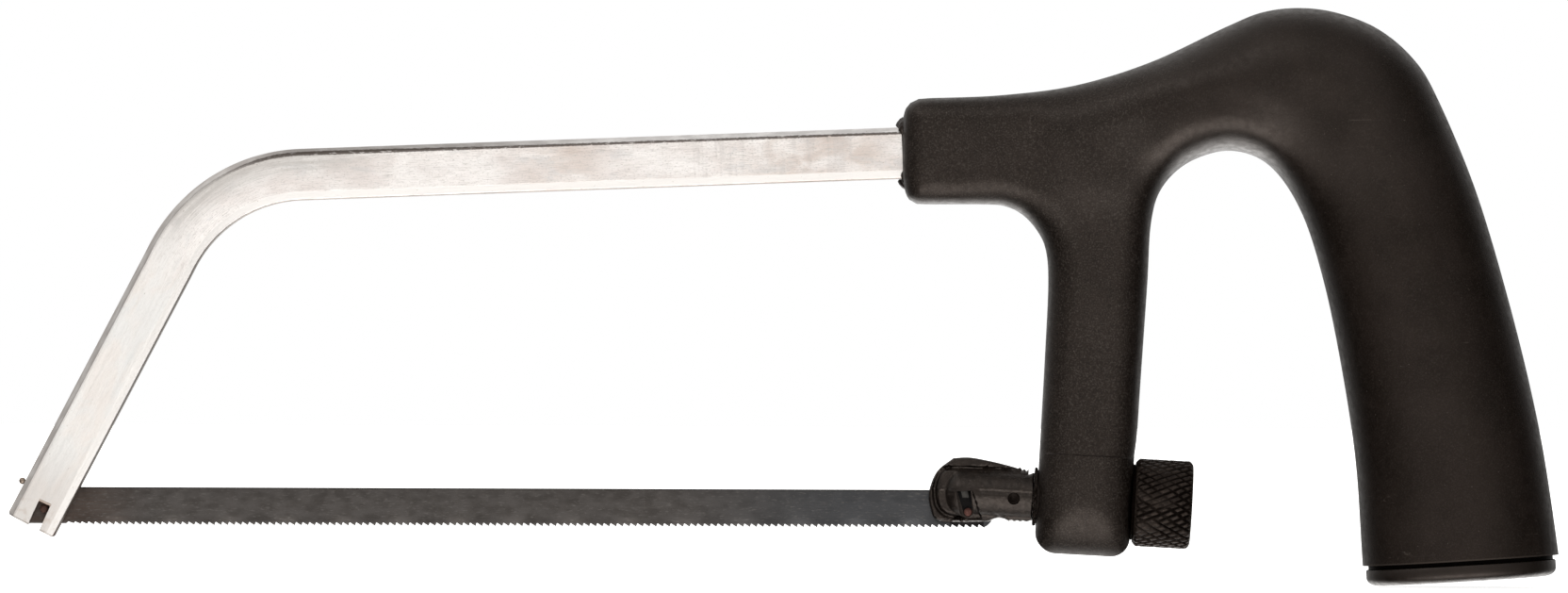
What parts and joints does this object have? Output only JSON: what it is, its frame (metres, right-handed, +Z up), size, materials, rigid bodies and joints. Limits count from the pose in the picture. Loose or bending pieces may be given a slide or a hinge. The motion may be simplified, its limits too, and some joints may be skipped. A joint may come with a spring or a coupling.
{
  "type": "junior hacksaw",
  "caption": "Junior hacksaw: bent flat-bar bow, moulded D-shaped handle, thin pin-end blade and a knurled nut that tensions the blade holder.",
  "frame": {"origin": "centre of the saw's bounding box, in the plane of the blade", "axes": "+X along the blade from the hook to the handle; +Z up, away from the teeth; +Y across the saw, away from a viewer who sees the handle on the right"},
  "size_m": [0.2452, 0.0236, 0.0912],
  "materials": {
    "bow_steel": "bright plated, finely brushed",
    "stop_pin_steel": "dull",
    "blade_steel": "blued, worn along the teeth",
    "blade_pin_steel": "copper-brown",
    "cast_black": "rough cast, blackened",
    "stud_steel": "black oxide",
    "black_steel": "matte black",
    "nut_steel": "black oxide, worn on the knurl",
    "handle_plastic": "matte warm black",
    "cap_plastic": "satin black"
  },
  "bodies": {
    "frame": {"bow_bar": "bow_steel", "bow_stop_pin": "stop_pin_steel", "handle_shell": "handle_plastic", "grip_end_cap": "cap_plastic", "guide_sleeve": "black_steel", "thrust_washer": "black_steel"},
    "nut": {"knurled_nut": "nut_steel"},
    "holder": {"holder_head": "cast_black", "tension_stud": "stud_steel", "stud_cross_pin": "stud_steel"},
    "blade": {"blade_strip": "blade_steel", "blade_pin_front": "blade_pin_steel", "blade_pin_rear": "blade_pin_steel"}
  },
  "joints": [
    {"name": "nut_spin", "type": "hinge", "parent": "frame", "child": "nut", "pos_m": [0.04815, 0, -0.03218], "axis": [0.9986, 0, -0.0523], "range_deg": [0, 1800]},
    {"name": "stud_slide", "type": "slide", "parent": "frame", "child": "holder", "axis": [-0.9986, 0, 0.0523], "range_m": [0, 0.0051]},
    {"name": "blade_swing", "type": "hinge", "parent": "holder", "child": "blade", "pos_m": [0.02915, 0, -0.03418], "axis": [0, -1, 0], "range_deg": [0, 4.5]}
  ],
  "couplings": [
    {"joint": "stud_slide", "follows": "nut_spin", "m_per_rad": 0.00015915},
    {"joint": "blade_swing", "follows": "nut_spin", "ratio": 0.0024458}
  ]
}
